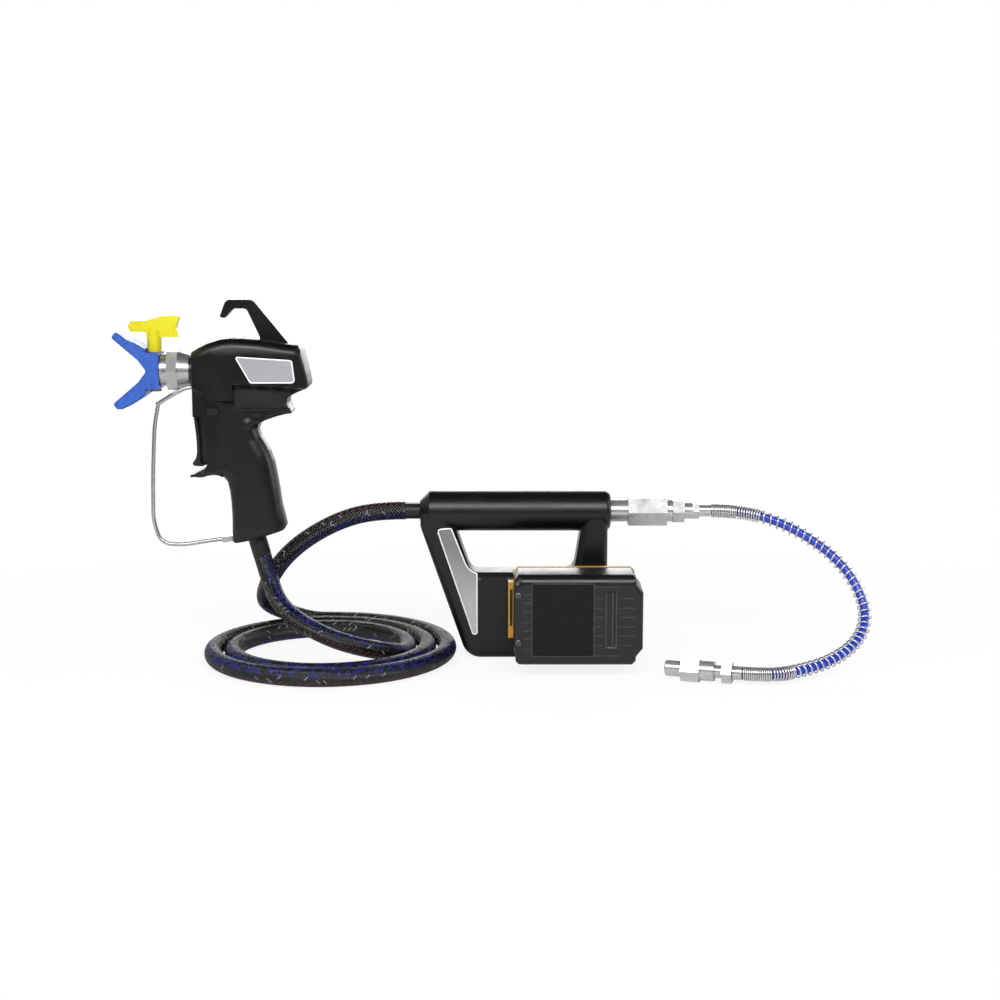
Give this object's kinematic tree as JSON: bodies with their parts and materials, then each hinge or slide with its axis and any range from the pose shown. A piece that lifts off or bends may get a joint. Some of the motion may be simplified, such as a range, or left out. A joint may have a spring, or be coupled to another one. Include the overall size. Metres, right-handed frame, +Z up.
{
  "type": "airless paint sprayer",
  "caption": "Battery airless paint sprayer with a D-handle, coiled braided hose, trigger gun with reversible tip, in-line filter and spring-guarded whip hose ending in a swivel inlet.",
  "frame": {"origin": "middle of the flat face that the handle stands on", "axes": "+Z up, +X along the handle tube away from the gun towards the filter, +Y away from the battery"},
  "size_m": [0.6273, 0.2194, 0.3002],
  "materials": {
    "gun_black": "fine matte texture with soft highlights",
    "trigger_black": "smooth satin",
    "silver_plate": "bare satin plate",
    "steel": "bright",
    "wire_steel": "zinc plated wire",
    "valve_metal": "machined",
    "copper": "wound and bare copper",
    "zinc": "bright zinc",
    "guard_blue": "satin moulded",
    "tip_yellow": "glossy, slightly clear",
    "seal_black": "matte",
    "hose_braid": "braided black, grey and white with blue bundles",
    "handle_charcoal": "satin moulded",
    "board": "circuit board",
    "fitting_metal": "machined, bright",
    "filter_mesh": "woven mesh",
    "whip_blue": "smooth cobalt blue",
    "spring_steel": "bright wound wire",
    "battery_black": "fine matte texture",
    "battery_yellow": "satin",
    "cell_wrap": "shrink wrapped"
  },
  "bodies": {
    "frame": {"gun_shell_left": "gun_black", "gun_shell_right": "gun_black", "hanging_hook": "gun_black", "gun_nameplate": "silver_plate", "hose_boot": "gun_black", "gun_screws": "steel", "trigger_pin": "steel", "trigger_spring": "steel", "microswitch": "trigger_black", "valve_body": "valve_metal", "needle_spring": "steel", "solenoid_coil": "copper", "diffuser": "valve_metal", "gun_fluid_tube": "valve_metal", "nose_ring": "gun_black", "trigger_guard": "wire_steel", "guard_clip": "wire_steel", "gun_hose_drop": "hose_braid", "gun_hose_coil": "hose_braid", "gun_hose_lead": "hose_braid", "hose_collar": "handle_charcoal", "handle_shell_front": "handle_charcoal", "handle_shell_rear": "handle_charcoal", "handle_nameplate": "silver_plate", "handle_screws": "steel", "control_board": "board", "terminal_block": "handle_charcoal", "terminal_blades": "copper", "handle_fluid_tube": "valve_metal", "outlet_fitting": "fitting_metal", "filter_body": "fitting_metal", "filter_element": "filter_mesh", "filter_spring": "steel", "filter_adapter": "fitting_metal", "whip_stem": "fitting_metal", "whip_hose": "whip_blue", "whip_spring": "spring_steel", "spring_end_sleeves": "spring_steel", "inlet_barrel": "fitting_metal", "inlet_body": "fitting_metal"},
    "trigger": {"trigger": "trigger_black"},
    "needle": {"needle": "steel"},
    "trigger_lock": {"trigger_lock": "trigger_black"},
    "retaining_nut": {"retaining_nut": "zinc"},
    "tip_guard": {"tip_guard": "guard_blue", "tip_seal": "seal_black"},
    "tip": {"tip_barrel": "steel", "tip_handle": "tip_yellow"},
    "battery": {"battery_inner_cover": "battery_black", "battery_outer_cover": "battery_black", "battery_cells": "cell_wrap", "battery_board": "board"},
    "battery_latch": {"battery_latch": "battery_yellow", "latch_spring": "steel"},
    "whip_nut": {"whip_nut": "fitting_metal"},
    "inlet_swivel_nut": {"inlet_swivel_nut": "fitting_metal"}
  },
  "joints": [
    {"name": "trigger_pull", "type": "hinge", "parent": "frame", "child": "trigger", "pos_m": [-0.2772, 0, 0.1995], "axis": [0, -1, 0], "range_deg": [0, 12], "stiffness_Nm_per_rad": 0.05, "springref_deg": -11.46},
    {"name": "needle_lift", "type": "slide", "parent": "frame", "child": "needle", "axis": [1, 0, 0], "range_m": [0, 0.0015]},
    {"name": "lock_slide", "type": "slide", "parent": "frame", "child": "trigger_lock", "axis": [0, 1, 0], "range_m": [0, 0.004]},
    {"name": "nut_turn", "type": "hinge", "parent": "frame", "child": "retaining_nut", "pos_m": [-0.301, 0, 0.242], "axis": [1, 0, 0], "continuous": true},
    {"name": "guard_turn", "type": "hinge", "parent": "frame", "child": "tip_guard", "pos_m": [-0.316, 0, 0.242], "axis": [1, 0, 0], "range_deg": [-90, 90]},
    {"name": "tip_turn", "type": "hinge", "parent": "tip_guard", "child": "tip", "pos_m": [-0.3216, 0, 0.242], "axis": [0, 0, 1], "range_deg": [0, 180]},
    {"name": "battery_slide", "type": "slide", "parent": "frame", "child": "battery", "axis": [-1, 0, 0], "range_m": [0, 0.038]},
    {"name": "latch_press", "type": "slide", "parent": "battery", "child": "battery_latch", "axis": [1, 0, 0], "range_m": [0, 0.003], "stiffness_N_per_m": 500, "springref_m": -0.002},
    {"name": "whip_nut_turn", "type": "hinge", "parent": "frame", "child": "whip_nut", "pos_m": [0.114, 0, 0.1236], "axis": [1, 0, 0], "continuous": true},
    {"name": "swivel_turn", "type": "hinge", "parent": "frame", "child": "inlet_swivel_nut", "pos_m": [0.14582, -0.09862, 0.0096], "axis": [0.9563, -0.2924, 0], "continuous": true}
  ],
  "couplings": [
    {"joint": "needle_lift", "follows": "trigger_pull", "m_per_rad": 0.00716}
  ]
}
